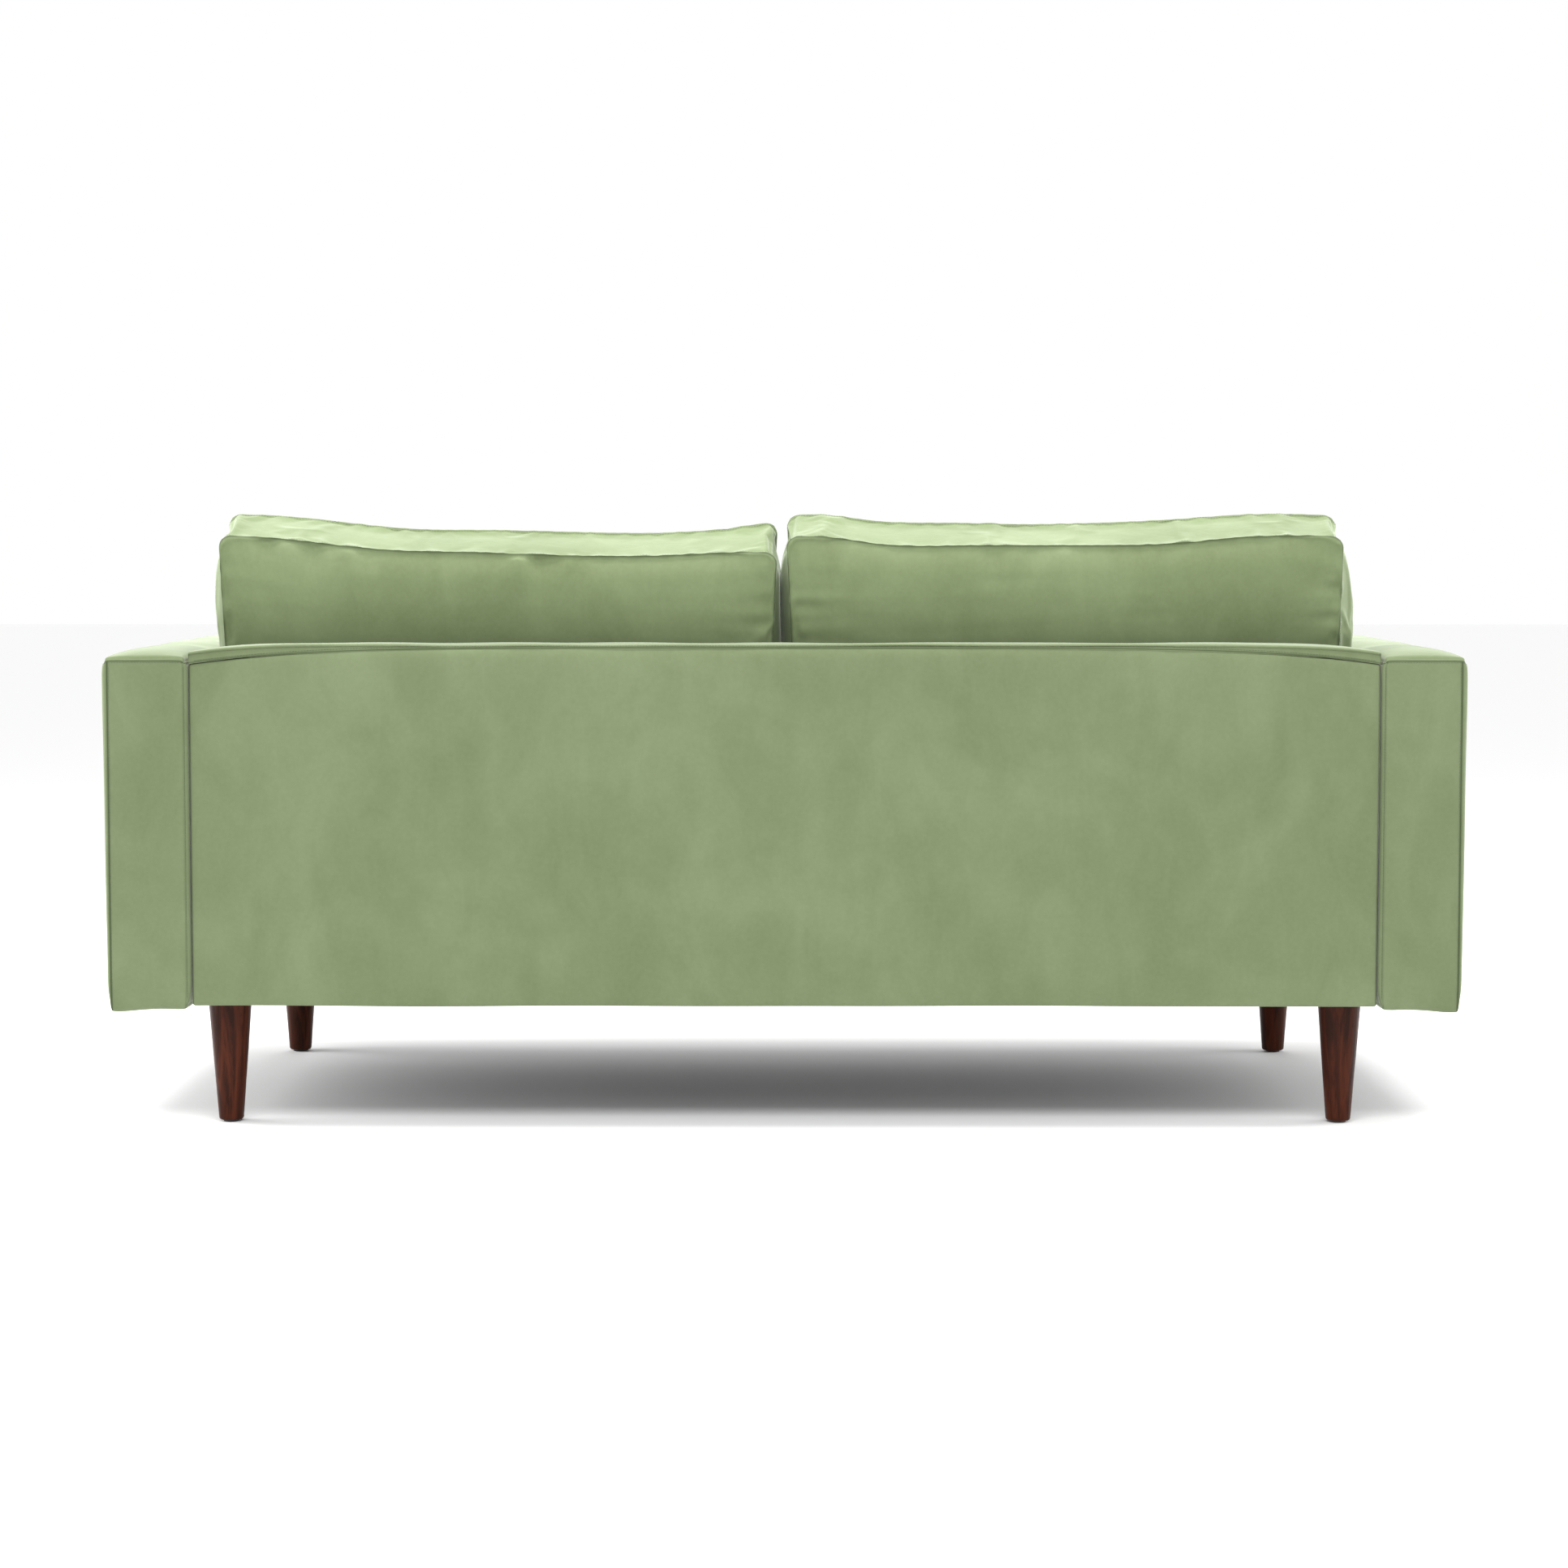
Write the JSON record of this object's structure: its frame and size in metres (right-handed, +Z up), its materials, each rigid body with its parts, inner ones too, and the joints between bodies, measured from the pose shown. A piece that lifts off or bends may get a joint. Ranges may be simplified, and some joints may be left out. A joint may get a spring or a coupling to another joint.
{
  "type": "sofa",
  "caption": "Upholstered sofa with square padded arms, loose boxed seat and back cushions and tapered turned wooden legs.",
  "frame": {"origin": "on the floor, in the middle of the width and the depth", "axes": "+Z up, +X to the sitter's left along the width, -Y out of the front, +Y out of the back"},
  "size_m": [1.98, 0.86, 0.8936],
  "materials": {
    "velvet": "matte",
    "walnut": "satin",
    "timber": "matte",
    "hardboard": "matte",
    "steel": "satin",
    "foam": "matte",
    "dust_cloth": "matte",
    "webbing": "matte",
    "zip_tape": "matte",
    "glide": "matte"
  },
  "bodies": {
    "root": {"front_rail": "timber", "rear_rail": "timber", "spring_rail": "timber", "end_rail_left": "timber", "end_rail_right": "timber", "centre_stretcher": "timber", "corner_blocks": "timber", "arm_front_post_left": "timber", "arm_front_post_right": "timber", "arm_rear_post_left": "timber", "arm_rear_post_right": "timber", "arm_top_rail_left": "timber", "arm_top_rail_right": "timber", "arm_base_rail_left": "timber", "arm_base_rail_right": "timber", "arm_board_left": "hardboard", "arm_board_right": "hardboard", "arm_foam_left": "foam", "arm_foam_right": "foam", "arm_cover_left": "velvet", "arm_cover_right": "velvet", "arm_bolts": "steel", "back_rib_left": "timber", "back_rib_centre": "timber", "back_rib_right": "timber", "back_top_rail": "timber", "back_webbing": "webbing", "inside_back_pad": "velvet", "outer_back_panel": "velvet", "back_top_band": "velvet", "leg_front_left": "walnut", "leg_front_right": "walnut", "leg_rear_left": "walnut", "leg_rear_right": "walnut", "hanger_bolts": "steel", "tee_nuts": "steel", "foot_glides": "glide", "seat_springs": "steel", "spring_clips": "steel", "seat_deck": "velvet", "front_rail_cover": "velvet", "dust_cover": "dust_cloth"},
    "seat_cushion_left": {"seat_cover_left": "velvet", "seat_core_left": "foam", "seat_zip_left": "zip_tape"},
    "back_cushion_left": {"back_cover_left": "velvet", "back_core_left": "foam", "back_zip_left": "zip_tape"},
    "seat_zip_slider_left": {"seat_slider_left": "steel"},
    "back_zip_slider_left": {"back_slider_left": "steel"},
    "seat_cushion_right": {"seat_cover_right": "velvet", "seat_core_right": "foam", "seat_zip_right": "zip_tape"},
    "back_cushion_right": {"back_cover_right": "velvet", "back_core_right": "foam", "back_zip_right": "zip_tape"},
    "seat_zip_slider_right": {"seat_slider_right": "steel"},
    "back_zip_slider_right": {"back_slider_right": "steel"}
  },
  "joints": [
    {"name": "seat_cushion_left_lift", "type": "slide", "parent": "root", "child": "seat_cushion_left", "axis": [0, 0, 1], "range_m": [0, 0.35]},
    {"name": "back_cushion_left_lift", "type": "slide", "parent": "seat_cushion_left", "child": "back_cushion_left", "axis": [0, 0, 1], "range_m": [0, 0.35]},
    {"name": "seat_zip_slider_left_run", "type": "slide", "parent": "seat_cushion_left", "child": "seat_zip_slider_left", "axis": [-1, 0, 0], "range_m": [0, 0.6]},
    {"name": "back_zip_slider_left_run", "type": "slide", "parent": "back_cushion_left", "child": "back_zip_slider_left", "axis": [-1, 0, 0], "range_m": [0, 0.6]},
    {"name": "seat_cushion_right_lift", "type": "slide", "parent": "root", "child": "seat_cushion_right", "axis": [0, 0, 1], "range_m": [0, 0.35]},
    {"name": "back_cushion_right_lift", "type": "slide", "parent": "seat_cushion_right", "child": "back_cushion_right", "axis": [0, 0, 1], "range_m": [0, 0.35]},
    {"name": "seat_zip_slider_right_run", "type": "slide", "parent": "seat_cushion_right", "child": "seat_zip_slider_right", "axis": [1, 0, 0], "range_m": [0, 0.6]},
    {"name": "back_zip_slider_right_run", "type": "slide", "parent": "back_cushion_right", "child": "back_zip_slider_right", "axis": [1, 0, 0], "range_m": [0, 0.6]}
  ]
}
